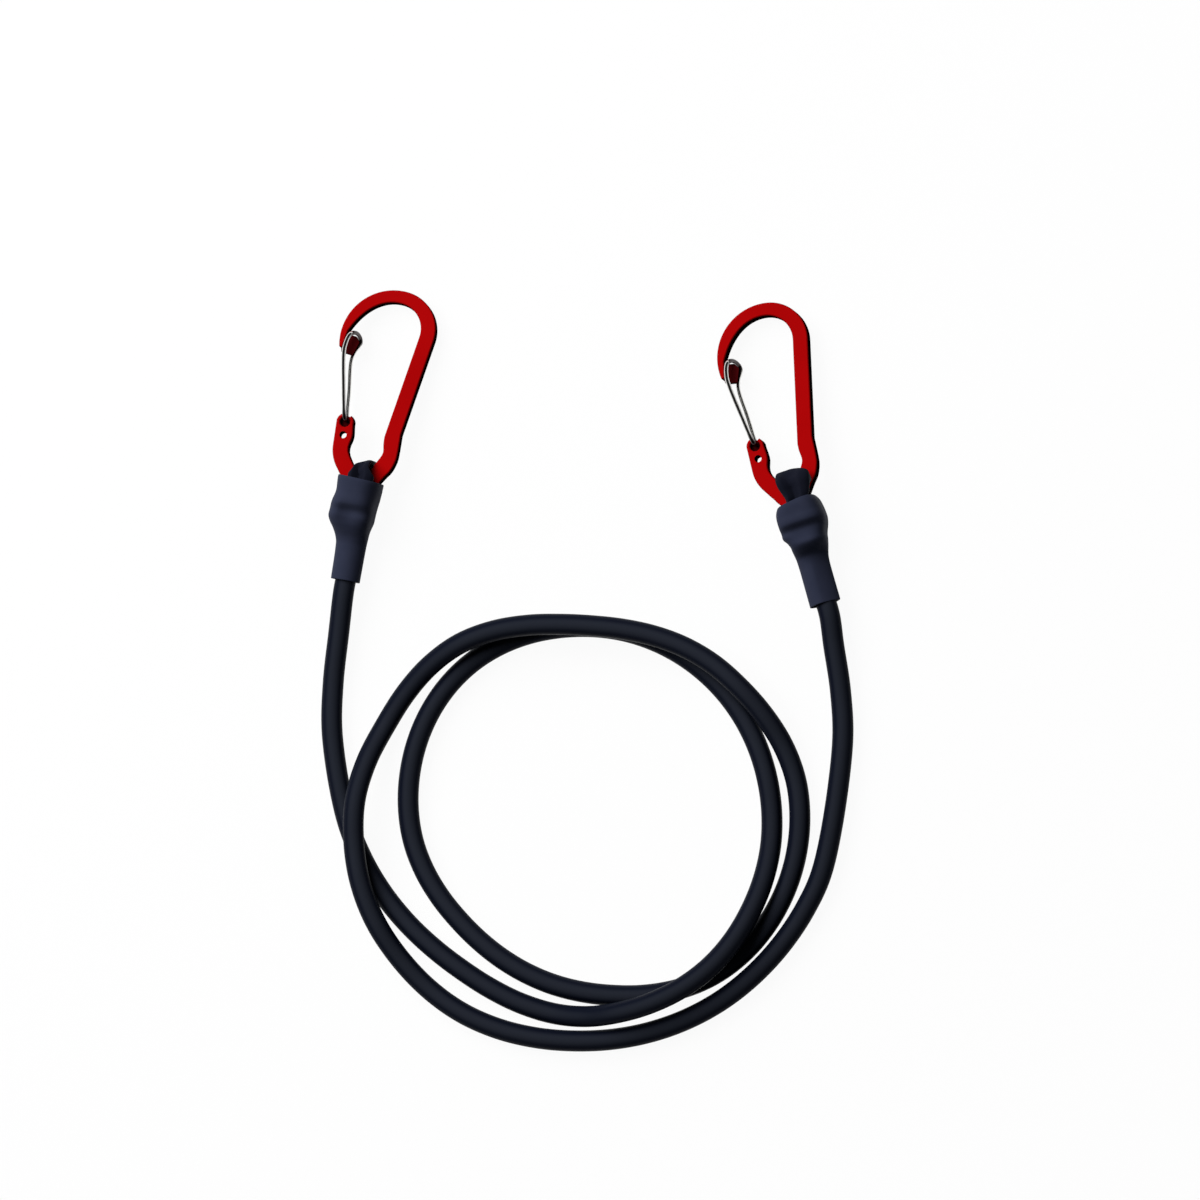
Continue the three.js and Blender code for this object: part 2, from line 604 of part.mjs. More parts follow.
// Bent metal band round both strands, with its seam underneath
function crimpFerrule(end) {
  const block = (shape, length) => {
    const outline = plainOutline(shape, CRIMP_WALL);
    const geometry = new THREE.ExtrudeGeometry(outline, { depth: length, bevelEnabled: false });
    geometry.rotateX(quarter);
    geometry.translate(end.crimpOffset, end.crimpTop + (length - CRIMP_LENGTH) / 2, 0);
    return toSolid(geometry);
  };
  const width = crimpBoreWidth + CRIMP_WALL;
  const height = crimpBoreHeight + CRIMP_WALL;
  const band = block(roundedBox(width, height, CRIMP_CORNER + CRIMP_WALL), CRIMP_LENGTH);
  const bore = block(roundedBox(crimpBoreWidth, crimpBoreHeight, CRIMP_CORNER), 2 * CRIMP_LENGTH);
  const seam = new THREE.BoxGeometry(CRIMP_SLOT, 2 * CRIMP_LENGTH, 2 * CRIMP_WALL);
  seam.translate(end.crimpOffset, end.crimpTop - CRIMP_LENGTH / 2, -crimpBoreHeight - CRIMP_WALL / 2);
  return toGeometry(band.subtract(bore).subtract(toSolid(seam)));
}

// Squarish ring across the sleeve: higher power gives squarer corners
function sleeveRing({ y, middle, width, height, drop, power }, wall) {
  const ring = [];
  const bulge = (value) => Math.sign(value) * Math.abs(value) ** (2 / power);
  for (let side = 0; side < SLEEVE_SIDES; side += 1) {
    const angle = (2 * Math.PI * (side + 0.5)) / SLEEVE_SIDES;
    const x = middle + (width - wall) * bulge(Math.cos(angle));
    ring.push(vec3(x, y, (height - wall) * bulge(Math.sin(angle)) - drop));
  }
  return ring;
}

// Shrunk tube that shows the crimp and the tail under it
function shrinkSleeve(end) {
  const crimpHeight = crimpBoreHeight + CRIMP_WALL + sleeveCover;
  const tailHeight = strandSplit + STRAP_THICKNESS + sleeveCover + SLEEVE_SLACK;
  const tailWidth = STRAP_WIDTH / 2 + SLEEVE_SLACK + sleeveCover + end.tailSlack;
  const mouth = cordRadius + sleeveCover;
  const rim = {
    middle: end.rimOffset,
    width: end.rimWidth,
    height: rimHalfHeight,
    drop: 0,
    power: RIM_SQUARENESS,
  };
  const crimp = {
    middle: end.crimpOffset,
    width: crimpBoreWidth + CRIMP_WALL + sleeveCover + end.crimpSlack,
    height: crimpHeight,
    drop: 0,
    power: CRIMP_SQUARENESS,
  };
  const neck = {
    middle: mix(rim.middle, crimp.middle, 0.5),
    width: Math.max(mix(rim.width, crimp.width, 0.6), crimp.width - SLEEVE_WALL),
    height: rimHalfHeight,
    drop: 0,
    power: RIM_SQUARENESS,
  };
  const tail = {
    middle: end.tailOffset,
    width: tailWidth,
    height: tailHeight,
    drop: 0,
    power: TAIL_SQUARENESS,
  };
  const cord = { middle: 0, width: mouth, height: mouth, drop: CORD_DROP, power: CORD_SQUARENESS };
  const foot = crimpFoot(end);
  const stations = [
    { y: end.rim, ...rim },
    { y: strandsApart(end) - FIT_GAP, ...neck },
    { y: end.crimpTop + FIT_GAP, ...crimp, height: mix(rimHalfHeight, crimpHeight, 0.7) },
    { y: end.crimpTop - CRIMP_LENGTH / 2, ...crimp },
    { y: foot - FIT_GAP, ...crimp },
    { y: Math.min(mix(foot, end.tailEnd, 0.5), foot - 2 * FIT_GAP - SLEEVE_WALL), ...tail },
    { y: end.tailEnd - FIT_GAP, ...tail },
    {
      y: end.tailEnd - CORD_FLATTENS / 2,
      middle: end.tailOffset / 2,
      width: mix(mouth, tailWidth, 0.4),
      height: mouth + FIT_GAP,
      drop: CORD_DROP,
      power: mix(CORD_SQUARENESS, TAIL_SQUARENESS, 0.4),
    },
    { y: end.tailEnd - CORD_FLATTENS, ...cord },
    { y: sleeveFoot(end), ...cord },
  ];
  const outside = stations.map((station) => sleeveRing(station, 0));
  const inside = stations.toReversed().map((station) => sleeveRing(station, SLEEVE_WALL));
  const sleeve = toSolid(loft([...outside, ...inside], true));
  return toGeometry(end.notched ? sleeve.subtract(armNotch(end)) : sleeve);
}

// Cut in the rim where the short arm of the plate leaves the sleeve
function armNotch(end) {
  const half = plateHalf + NOTCH_AIR;
  const slot = new THREE.Shape();
  slot.moveTo(-half, end.rim + half);
  slot.lineTo(-half, NOTCH_FOOT + half);
  slot.absarc(0, NOTCH_FOOT + half, half, Math.PI, 2 * Math.PI, false);
  slot.lineTo(half, end.rim + half);
  const outline = plainOutline(slot, CRIMP_WALL);
  const cutter = new THREE.ExtrudeGeometry(outline, { depth: 2 * end.rimWidth, bevelEnabled: false });
  cutter.rotateY(-quarter);
  return toSolid(cutter);
}

// Angle at which the carabiner comes down to the floor, at its gate or at its bow
function restTilt(end) {
  const lean = new THREE.Euler(0, degrees(end.roll), degrees(end.turn));
  const drop = rimHalfHeight - FLOOR_AIR;
  const bow = evenSteps(BOW_TOUCH_STEPS).map((part) => {
    const edge = onCircle(vec2(noseCentre.x, BOW_HEIGHT), BOW_RADIUS, quarter * part);
    return vec3(edge.x, edge.y, -plateHalf);
  });
  const gate = [0, FIT_GAP + WIRE_DIAMETER + GATE_CROWN_SKEW].map((aside) => {
    return vec3(lipInside + aside, gateTop, -gateReach);
  });
  const touch = [...gate, ...bow].map((point) => {
    const leaning = point.applyEuler(lean);
    const reach = Math.hypot(leaning.y, leaning.z);
    return Math.asin(-drop / reach) - Math.atan2(leaning.z, leaning.y);
  });
  return Math.max(...touch);
}

function named(name, geometry, material) {
  const mesh = new THREE.Mesh(geometry, material);
  mesh.name = name;
  return mesh;
}

function buildEnd(end) {
  const group = new THREE.Group();
  group.name = `${end.side}_end`;
  group.position.set(end.bar.x, end.bar.y, rimHalfHeight);
  group.rotation.z = degrees(end.heading);
  const carabiner = new THREE.Group();
  carabiner.name = `${end.side}_carabiner`;
  carabiner.rotation.set(restTilt(end), degrees(end.roll), degrees(end.turn));
  carabiner.add(named(`${end.side}_carabiner_frame`, carabinerFrame(), RED_ANODISED));
  carabiner.add(named(`${end.side}_gate_wire`, gateWire(), STEEL));
  group.add(carabiner);
  group.add(named(`${end.side}_cord_loop`, cordLoop(end), RUBBER));
  group.add(named(`${end.side}_crimp_ferrule`, crimpFerrule(end), CRIMP_STEEL));
  group.add(named(`${end.side}_shrink_sleeve`, shrinkSleeve(end), SHRINK_TUBE));
  group.updateMatrixWorld(true);
  return group;
}

const part = new THREE.Group();
part.name = "bungee_cord";
const coil = coilPath();
console.log(`coil: least gap to itself ${leastGap(coil).toFixed(2)} mm`);
part.add(named("cord_coil", tube(coil, cordRadius, CORD_SIDES), RUBBER));
for (const end of ENDS) {
  const group = buildEnd(end);
  part.add(group);
  const mouth = group.localToWorld(vec3(0, cordMouth(end), -CORD_DROP));
  const outward = group.localToWorld(vec3(0, cordMouth(end) - 1, -CORD_DROP)).sub(mouth);
  const first = end.side === "left";
  const coilEnd = first ? coil[0] : coil.at(-1);
  const coilOutward = first ? coilDirection(COIL_START).negate() : coilDirection(COIL_END);
  const points = end.run.map((point) => vec3(end.bar.x, end.bar.y, 0).add(point));
  const run = cordRun(mouth, outward, points, coilEnd, coilOutward);
  part.add(named(`cord_${end.side}_run`, run, RUBBER));
}

export default part;
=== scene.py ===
"""Bungee cord: a black rubber cord in a loose coil, with a red wire-gate carabiner at each end."""
import math

import bmesh
import bpy
from mathutils import Matrix, Vector


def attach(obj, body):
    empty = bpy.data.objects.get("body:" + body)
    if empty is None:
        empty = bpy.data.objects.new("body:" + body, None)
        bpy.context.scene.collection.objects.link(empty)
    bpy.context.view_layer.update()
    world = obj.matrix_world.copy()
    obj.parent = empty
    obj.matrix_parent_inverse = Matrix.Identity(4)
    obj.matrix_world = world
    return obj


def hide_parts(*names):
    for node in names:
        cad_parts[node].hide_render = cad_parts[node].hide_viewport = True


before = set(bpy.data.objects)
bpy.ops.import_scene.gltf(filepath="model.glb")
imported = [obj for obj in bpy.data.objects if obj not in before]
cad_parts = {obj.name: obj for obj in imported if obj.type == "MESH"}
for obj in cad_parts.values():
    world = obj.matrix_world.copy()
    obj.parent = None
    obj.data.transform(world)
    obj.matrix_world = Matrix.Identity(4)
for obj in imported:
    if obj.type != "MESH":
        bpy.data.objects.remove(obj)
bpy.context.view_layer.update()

# Sizes are in millimetres, apart from the light's place and size and the floor's size, in metres
MM = 0.001

# Camera: nearly straight down, tilted a little to the right and towards the coil
VIEW_TARGET = Vector((2.6, -34.9, 0.0)) * MM
VIEW_TILT_RIGHT = math.radians(14)
VIEW_TILT_NEAR = math.radians(5)
VIEW_DISTANCE = 2500 * MM
VIEW_WIDTH = 276 * MM
SENSOR = 36.0

# Light: one large softbox from the upper left, and dim surroundings that look white at eye level
# and dark overhead to the camera and to shiny pieces; they show through a clear floor with a pale coat
KEY_PLACE = (-0.55, 0.52, 0.86)
KEY_SIZE = 1.0
KEY_POWER = 27.0
WORLD_LIGHT = 0.05
ZENITH_LIGHT = 0.02
HORIZON_HEIGHTS = (0.15, 0.45)
FLOOR_SIZE = 6.0
FLOOR_DROP = 0.2
FLOOR_COLOUR = (0.72, 0.72, 0.72, 1.0)
FLOOR_BOUNCE = (0.18, 0.18, 0.18, 1.0)
FLOOR_CLEAR = 0.95
WHITE = (1.0, 1.0, 1.0, 1.0)

# Rubber cord and its route, as in the part's source: the coil's radius at every eighth of a turn, and
# the degrees at which the cord leaves the floor to pass over itself, is up, starts down and lands
CORD_DIAMETER = 4.7
CORD_RADIUS = CORD_DIAMETER / 2
CORD_SWELL = 0.08
COIL_CENTRE = Vector((0.6, -83.9, 0.0))
COIL_START = 180
COIL_END = 1066
COIL_STEP = 10
EIGHTH = 45
COIL_RADII = [
    57.8, 47.3, 47.0, 46.6, 43.0, 41.9, 42.7, 44.8,
    42.8, 39.1, 41.5, 48.6, 49.6, 45.2, 42.6, 50.1,
    54.5, 55.3, 52.5, 54.1, 57.6,
]
RADIUS_BEFORE_COIL = 74
COIL_CLIMBS = [(258, 288, 320, 358), (728, 760, 840, 878), (874, 898, 918, 948)]
CROSSING_AIR = 0.6
CORD_POINT_SPACING = 1.2
LEAST_SPAN = 1e-6
ROUND_STEPS = 8
# Free runs between each sleeve and the coil, measured from the bar
LEFT_RUN = [(-6.0, -33.5, 3.4), (-7.6, -45.0, CORD_RADIUS), (-7.8, -57.0, CORD_RADIUS)]
RIGHT_RUN = [(8.5, -33.1, 3.4), (9.9, -44.1, CORD_RADIUS), (10.3, -56.1, CORD_RADIUS)]

# Ends: where the bar is, how the sleeve points, how the plate hangs, where the crimp and the tail are,
# and the fold: how thick it is, how its top slants, how far it stands off the middle in front, behind
# and in the eye, how wide it is, and over which degrees of its bend the front narrows
BAR_HEIGHT = 6.0
CORD_DROP = 1.6
MOUTH_DEPTH = 1.5
ENDS = {
    "left": {
        "bar": (-52.71, -7.99), "heading": -10.8, "run": LEFT_RUN,
        "tilt": -4.926, "roll": 4.8, "turn": -7.5,
        "foot": -21.4, "crimp_top": -3.6, "crimp_offset": -0.7, "tail_end": -9.0,
        "fold_thickness": 3.5, "fold_slant": 0.4,
        "front_offset": 0.5, "back_offset": 0.0, "eye_offset": 0.1,
        "strap_width": 6.0, "fold_width": 6.4, "front_taper": (15, 55),
    },
    "right": {
        "bar": (49.94, -13.39), "heading": 16.4, "run": RIGHT_RUN,
        "tilt": -4.647, "roll": 0.8, "turn": -12.8,
        "foot": -24.4, "crimp_top": -4.0, "crimp_offset": 0.1, "tail_end": -12.2,
        "fold_thickness": 4.5, "fold_slant": 0.0,
        "front_offset": 1.6, "back_offset": -0.7, "eye_offset": 0.1,
        "strap_width": 5.0, "fold_width": 8.4, "front_taper": (60, 88),
    },
}

# Carabiner plate and the wire gate on it, in the plate's own frame with the bar at the origin
PLATE_HALF = 1.6
PLATE_BEVEL = 0.25
# Depths from the plate's middle where its painted shade gives way to red, in front and behind
FRONT_TURNS_RED = (PLATE_HALF - PLATE_BEVEL, PLATE_HALF - PLATE_BEVEL / 2)
BACK_TURNS_RED = (PLATE_HALF - PLATE_BEVEL / 5, PLATE_HALF - PLATE_BEVEL / 10)
PLATE_MERGE = 0.002
PLATE_FLAT_ANGLE = math.radians(0.5)
PLATE_SMOOTH_ANGLE = math.radians(32)
FIT_GAP = 0.3
WIRE_RADIUS = 0.5
WIRE_SPACING = 0.25
TOE_OFFSET = 0.45
TOE_END = 0.45
SEAT = Vector((-8.4, 13.0))
TOE_BEND = Vector((0.15, 0.9))
GATE_HEAD = -14.05
LIP_TIP = 29.36
CROWN_FOOT = 32.26
GATE_BEND_DROP = 1.1
GATE_BEND_LENGTH = 2.1
GATE_BEND_BOW = 0.5
GATE_TOP_SPREAD = 0.2
GATE_CROWN = 1.3
GATE_CROWN_STEPS = 8
GATE_SKEW = 0.9
GATE_CROWN_SKEW = 2.1
GATE_NECK = 0.4
# Painted shade on the wire: how far sideways from the front leg it starts over the crown, how far below
# the crown's foot it reaches, and the heights above the seat where it fades from the toes
CROWN_DARKENS = (0.3, 0.8)
CROWN_DARK_REACH = 1.2
TOE_DARKENS = (0.6, 3.4)

# Cord end folded over the bar through the eye; angles of its bend and of the eye are in degrees
RUBBER_SMOOTH_ANGLE = math.radians(50)
FOLD_STARTS = -2.0
FOLD_FULL = 5.0
FOLD_SHIFTS_OVER = 4.5
STRAP_THICKNESS = 2.8
STRAP_SIDES = 64
STRAND_SPLIT = 0.15
STRAND_SPREAD = 1.6
STRAND_STEPS = 10
STRAND_STEP_LENGTH = 0.8
CORD_FLATTENS = 4.0
CRIMP_LENGTH = 4.0
LOOP_INSIDE = 2.3
LOOP_TOP = 2.31
LOOP_CORNER = 0.5
LOOP_BENDS = 16
BACK_TAPER = (15, 60)
EYE_APEX = 0.83
EYE_HALF_ANGLE = 31.0
EYE_AIR = 0.7
GROOVE_DEPTH = 1.5
GROOVE_PLACE = -0.15
GROOVE_HALF = 0.55
GROOVE_FADES = (62, 88)
ELLIPSE = 2.0
FOLD_SQUARENESS = 4.0

# Shrink sleeves, each by rows of height along the sleeve, left and right edge, top and bottom, and
# squareness, where more than an ellipse's 2 is squarer
SLEEVE_SIDES = 72
SLEEVE_STEP = 0.3
SLEEVE_WALL = 0.4
RIM_ROUNDING = 0.12
RIM_STEPS = 2
RIM_ANGLE = math.radians(60)
SLEEVE_OUTLINES = {
    "left": [
        (1.6, -5.5, 4.75, 5.75, -5.85, 2.5),
        (1.0, -5.5, 4.8, 5.95, -5.95, 2.5),
        (-2.0, -5.3, 4.6, 5.95, -5.95, 2.6),
        (-4.4, -5.65, 4.3, 5.85, -5.4, 3.1),
        (-6.1, -5.9, 4.1, 4.6, -5.0, 3.5),
        (-7.8, -6.0, 4.05, 4.6, -4.9, 3.5),
        (-9.2, -5.5, 3.8, 4.2, -4.7, 3.0),
        (-10.3, -4.85, 3.6, 3.5, -4.5, 2.7),
        (-12.0, -4.2, 3.4, 2.3, -4.75, 2.3),
        (-13.8, -3.85, 3.3, 1.75, -4.85, 2.0),
        (-22.0, -3.5, 3.3, 1.7, -4.85, 2.0),
    ],
    "right": [
        (-0.8, -4.1, 4.7, 5.7, -5.85, 3.0),
        (-1.8, -4.6, 5.4, 5.95, -5.95, 3.0),
        (-3.6, -4.95, 5.85, 5.95, -5.6, 3.2),
        (-5.8, -4.95, 6.05, 5.95, -5.1, 3.2),
        (-7.2, -4.95, 5.7, 4.65, -4.95, 3.2),
        (-8.4, -4.95, 5.25, 4.6, -4.9, 3.2),
        (-9.4, -4.25, 4.95, 4.75, -4.7, 3.0),
        (-10.6, -3.75, 4.85, 4.95, -4.5, 2.6),
        (-11.4, -3.75, 4.65, 4.5, -4.6, 2.4),
        (-12.3, -3.75, 4.35, 3.5, -4.7, 2.2),
        (-13.3, -3.75, 3.95, 2.2, -4.8, 2.0),
        (-14.4, -3.75, 3.65, 1.8, -4.85, 1.9),
        (-16.5, -3.75, 3.5, 1.75, -4.85, 1.65),
        (-24.8, -3.85, 3.45, 1.7, -4.85, 1.7),
    ],
}
# Bulges of the crimp's corners under the sleeve: across, along, how wide each way, and how high
SLEEVE_BULGES = {
    "left": [(-3.5, -6.2, 1.8, 2.2, 1.1)],
    "right": [],
}
RIM_SLANTS = {"left": -0.05, "right": 0.12}
# How steeply the tube falls away to the right below the crimp, and where that starts
TUBE_LEANS = {"left": 0.0, "right": 0.2}
LEAN_STARTS = -1.5
LEAN_HEIGHTS = (-13.0, -11.0)
# Notch in the left sleeve's rim, round the plate's short arm
NOTCHED_SIDE = "left"
NOTCH_RADIUS = 2.7
NOTCH_CENTRE = 2.5
NOTCH_FADE = -3.0

# Finishes: colours, how shiny they are, and how fine, deep and strong the grain is
# Rubber: painted shade towards the cord's edges, a painted highlight where it faces the eye, and how far
# from the middle that highlight reaches
RUBBER_PAINTED_EDGE_SHADE = (0.0036, 0.0048, 0.0100, 1.0)
RUBBER_PAINTED_HIGHLIGHT = (0.0145, 0.0168, 0.0240, 1.0)
PAINTED_HIGHLIGHT_REACH = 0.30
STRAP_DARK = (0.0058, 0.0066, 0.0118, 1.0)
STRAP_LIGHT = (0.0072, 0.0080, 0.0136, 1.0)
TUBE_DARK = (0.0195, 0.0230, 0.0410, 1.0)
TUBE_LIGHT = (0.0220, 0.0255, 0.0445, 1.0)
BLACK_SHINE = 0.03
BLUE_SHEEN = (0.6, 0.7, 1.0, 1.0)
RUBBER_GRAIN = 2600.0
TUBE_GRAIN = 3200.0
SOFT_GRAIN_DEPTH = 0.01 * MM
RED_DARK = (0.350, 0.0016, 0.0020, 1.0)
RED_LIGHT = (0.380, 0.0020, 0.0025, 1.0)
# Painted shade on the plate: near black on its cut sides, maroon in the milled recess of the tooth
SIDE_PAINTED_SHADE = (0.0085, 0.0006, 0.0007, 1.0)
RECESS_PAINTED_SHADE = (0.0450, 0.0020, 0.0028, 1.0)
RED_METAL = 0.20
PLATE_GRAIN = 4200.0
PLATE_GRAIN_DEPTH = 0.001 * MM
LEVEL_NORMALS = (0.6, 0.9)
WIRE_BRIGHT = (0.85, 0.85, 0.83, 1.0)
WIRE_DULL = (0.74, 0.73, 0.70, 1.0)
# Painted shade for the wire's toes and its bend over the tooth
WIRE_PAINTED_SHADE = (0.06, 0.05, 0.05, 1.0)
WIRE_LINES = 900.0
WIRE_LINE_STRETCH = (1.0, 0.15, 1.0)
WIRE_LINE_DEPTH = 0.002 * MM
CRIMP_DARK = (0.32, 0.33, 0.34, 1.0)
CRIMP_LIGHT = (0.42, 0.43, 0.44, 1.0)
CRIMP_LINES = 600.0
CRIMP_LINE_STRETCH = (0.1, 1.0, 1.0)
CRIMP_LINE_DEPTH = 0.01 * MM
CRIMP_LINE_LEVELS = (0.3, 0.7)
GRAIN_DETAIL = 2.0
LINE_DETAIL = 3.0
GRAIN_STRENGTH = 0.2
TUBE_GRAIN_STRENGTH = 0.25
CRIMP_LINE_STRENGTH = 0.3
# Patches on each finish: how fine and how detailed they are, and the noise where they start and are full
RUBBER_PATCHES = (160.0, 5.0, 0.35, 0.75)
STRAP_PATCHES = (220.0, 5.0, 0.3, 0.75)
TUBE_PATCHES = (240.0, 4.0, 0.3, 0.7)
PLATE_PATCHES = (60.0, 3.0, 0.3, 0.7)
WIRE_PATCHES = (300.0, 3.0, 0.35, 0.75)
# Roughness of each finish, and how much rougher its patches or lines are
RUBBER_ROUGH = (0.36, 0.08)
STRAP_ROUGH = (0.46, 0.10)
TUBE_ROUGH = (0.50, 0.06)
PLATE_ROUGH = (0.42, 0.05)
WIRE_ROUGH = (0.10, 0.06)
CRIMP_ROUGH = (0.30, 0.15)


# Camera

def add_camera():
    away = Vector((math.tan(VIEW_TILT_RIGHT), -math.tan(VIEW_TILT_NEAR), 1.0)).normalized()
    right = Vector((0, 1, 0)).cross(away).normalized()
    up = away.cross(right)
    lens = bpy.data.cameras.new("view")
    lens.sensor_width = SENSOR
    lens.lens = SENSOR * VIEW_DISTANCE / VIEW_WIDTH
    camera = bpy.data.objects.new("view", lens)
    turn = Matrix((right, up, away)).transposed().to_4x4()
    camera.matrix_world = Matrix.Translation(VIEW_TARGET + away * VIEW_DISTANCE) @ turn
    bpy.context.scene.collection.objects.link(camera)
    bpy.context.scene.camera = camera


# Cord route

def smooth(value, low, high):
    part = min(max((value - low) / (high - low), 0.0), 1.0)
    return part * part * (3 - 2 * part)


def mix(start, end, part):
    return start + (end - start) * part


def curve(start, end, leaving, arriving, part):
    """Part of the way along a smooth curve with a set slope at each end, for numbers and vectors."""
    square = part * part
    cube = square * part
    return (start * (2 * cube - 3 * square + 1) + leaving * (cube - 2 * square + part)
            + end * (3 * square - 2 * cube) + arriving * (cube - square))


def coil_radius(angle):
    place = (angle - COIL_START) / EIGHTH
    first = min(max(int(place), 0), len(COIL_RADII) - 2)
    part = place - first
    before = COIL_RADII[first - 1] if first > 0 else RADIUS_BEFORE_COIL
    start = COIL_RADII[first]
    end = COIL_RADII[first + 1]
    after = COIL_RADII[min(first + 2, len(COIL_RADII) - 1)]
    return curve(start, end, (end - before) / 2, (after - start) / 2, part)


def coil_height(angle):
    height = CORD_RADIUS
    for leave, up, down, land in COIL_CLIMBS:
        raised = smooth(angle, leave, up) - smooth(angle, down, land)
        height = max(height, CORD_RADIUS + (CORD_DIAMETER + CROSSING_AIR) * raised)
    return height


def coil_point(angle):
    radius = coil_radius(angle)
    turned = math.radians(angle)
    across = radius * math.cos(turned)
    along = radius * math.sin(turned)
    return COIL_CENTRE + Vector((across, along, coil_height(angle)))


def end_place(side):
    end = ENDS[side]
    bar = Vector((*end["bar"], BAR_HEIGHT))
    return Matrix.Translation(bar) @ Matrix.Rotation(math.radians(end["heading"]), 4, "Z")


def run_points(side):
    """Where the cord leaves a sleeve, a point one diameter further out, and the free run after it."""
    end = ENDS[side]
    place = end_place(side)
    bar = Vector((*end["bar"], 0.0))
    mouth = end["foot"] + MOUTH_DEPTH
    leaving = [place @ Vector((0, mouth - reach, -CORD_DROP)) for reach in (0, CORD_DIAMETER)]
    return leaving + [bar + Vector(point) for point in end["run"]]


def smooth_line(points, spacing):
    """Points evenly spread on a rounded line through the given ones."""
    line = [points[0]]
    for i in range(len(points) - 1):
        here = points[i]
        there = points[i + 1]
        before = points[i - 1] if i else here * 2 - there
        after = points[i + 2] if i + 2 < len(points) else there * 2 - here
        pairs = ((before, here), (here, there), (there, after))
        spans = [max((b - a).length ** 0.5, LEAST_SPAN) for a, b in pairs]
        leave = ((here - before) / spans[0] - (there - before) / (spans[0] + spans[1])
                 + (there - here) / spans[1]) * spans[1]
        arrive = ((there - here) / spans[1] - (after - here) / (spans[1] + spans[2])
                  + (after - there) / spans[2]) * spans[1]
        steps = max(1, round((there - here).length / spacing))
        for step in range(1, steps + 1):
            line.append(curve(here, there, leave, arrive, step / steps))
    return line


def cord_route():
    steps = round((COIL_END - COIL_START) / COIL_STEP)
    coil = [coil_point(mix(COIL_START, COIL_END, step / steps)) for step in range(steps + 1)]
    points = run_points("left") + coil + run_points("right")[::-1]
    return [point * MM for point in smooth_line(points, CORD_POINT_SPACING)]


def add_round_line(name, points, radius, finish):
    """Round bar along a line of points."""
    line = bpy.data.curves.new(name, "CURVE")
    line.dimensions = "3D"
    line.bevel_depth = radius
    line.bevel_resolution = ROUND_STEPS
    line.use_fill_caps = True
    spline = line.splines.new("POLY")
    spline.points.add(len(points) - 1)
    for place, point in zip(spline.points, points):
        place.co = (*point, 1.0)
    spline.use_smooth = True
    line.materials.append(finish)
    piece = bpy.data.objects.new(name, line)
    bpy.context.scene.collection.objects.link(piece)
    return piece


def add_cord(finish):
    route = [point + Vector((0, 0, CORD_SWELL * MM)) for point in cord_route()]
    cord = add_round_line("stretch_cord", route, (CORD_RADIUS + CORD_SWELL) * MM, finish)
    length = sum((b - a).length for a, b in zip(route, route[1:]))
    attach(cord, "cord")
    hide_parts("cord_left_run", "cord_coil", "cord_right_run")


# Carabiners

def plate_place(side):
    """Frame of a carabiner's plate as it hangs at rest."""
    end = ENDS[side]
    tilt = Matrix.Rotation(math.radians(end["tilt"]), 4, "X")
    roll = Matrix.Rotation(math.radians(end["roll"]), 4, "Y")
    turn = Matrix.Rotation(math.radians(end["turn"]), 4, "Z")
    return end_place(side) @ tilt @ roll @ turn


def select_only(piece):
    bpy.ops.object.select_all(action="DESELECT")
    piece.select_set(True)
    bpy.context.view_layer.objects.active = piece


def add_frame(side, finish):
    """Plate with its loose triangles merged, so that the curved edges shade smoothly."""
    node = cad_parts[f"{side}_carabiner_frame"]
    plate = bpy.data.objects.new(f"{side}_plate", node.data.copy())
    bpy.context.scene.collection.objects.link(plate)
    plate.data.materials.clear()
    plate.data.materials.append(finish)
    select_only(plate)
    bpy.ops.object.mode_set(mode="EDIT")
    bpy.ops.mesh.select_all(action="SELECT")
    bpy.ops.mesh.remove_doubles(threshold=PLATE_MERGE * MM)
    bpy.ops.mesh.dissolve_limited(angle_limit=PLATE_FLAT_ANGLE)
    bpy.ops.object.mode_set(mode="OBJECT")
    if plate.data.has_custom_normals:
        bpy.ops.mesh.customdata_custom_splitnormals_clear()
    bpy.ops.object.shade_smooth_by_angle(angle=PLATE_SMOOTH_ANGLE)
    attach(plate, f"{side}_carabiner")
    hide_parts(f"{side}_carabiner_frame")


def gate_leg(front):
    """One leg of the wire, from its toe in the seat to the head: front is 1 above the plate, else -1."""
    leg = PLATE_HALF + FIT_GAP + WIRE_RADIUS
    head = leg + GATE_TOP_SPREAD
    toe = SEAT.y + front * TOE_OFFSET
    bend = LIP_TIP - GATE_BEND_DROP
    x = GATE_HEAD if front > 0 else GATE_HEAD + GATE_SKEW
    top = GATE_HEAD if front > 0 else GATE_HEAD + GATE_CROWN_SKEW
    return [
        Vector((SEAT.x, toe, front * TOE_END)),
        Vector((SEAT.x, toe, front * (leg - 2 * WIRE_RADIUS))),
        Vector((SEAT.x - TOE_BEND.x / 2, toe + TOE_BEND.x, front * (leg - WIRE_RADIUS / 2))),
        Vector((SEAT.x - TOE_BEND.y / 2, toe + TOE_BEND.y, front * leg)),
        Vector((mix(SEAT.x, x, 0.5), mix(SEAT.y, bend, 0.5), front * mix(leg, head, 0.5))),
        Vector((x + GATE_BEND_BOW, bend - GATE_BEND_LENGTH / 2, front * head)),
        Vector((mix(x, top, GATE_NECK), bend + GATE_BEND_LENGTH / 2, front * head)),
        Vector((top, CROWN_FOOT - WIRE_RADIUS, front * head)),
    ]


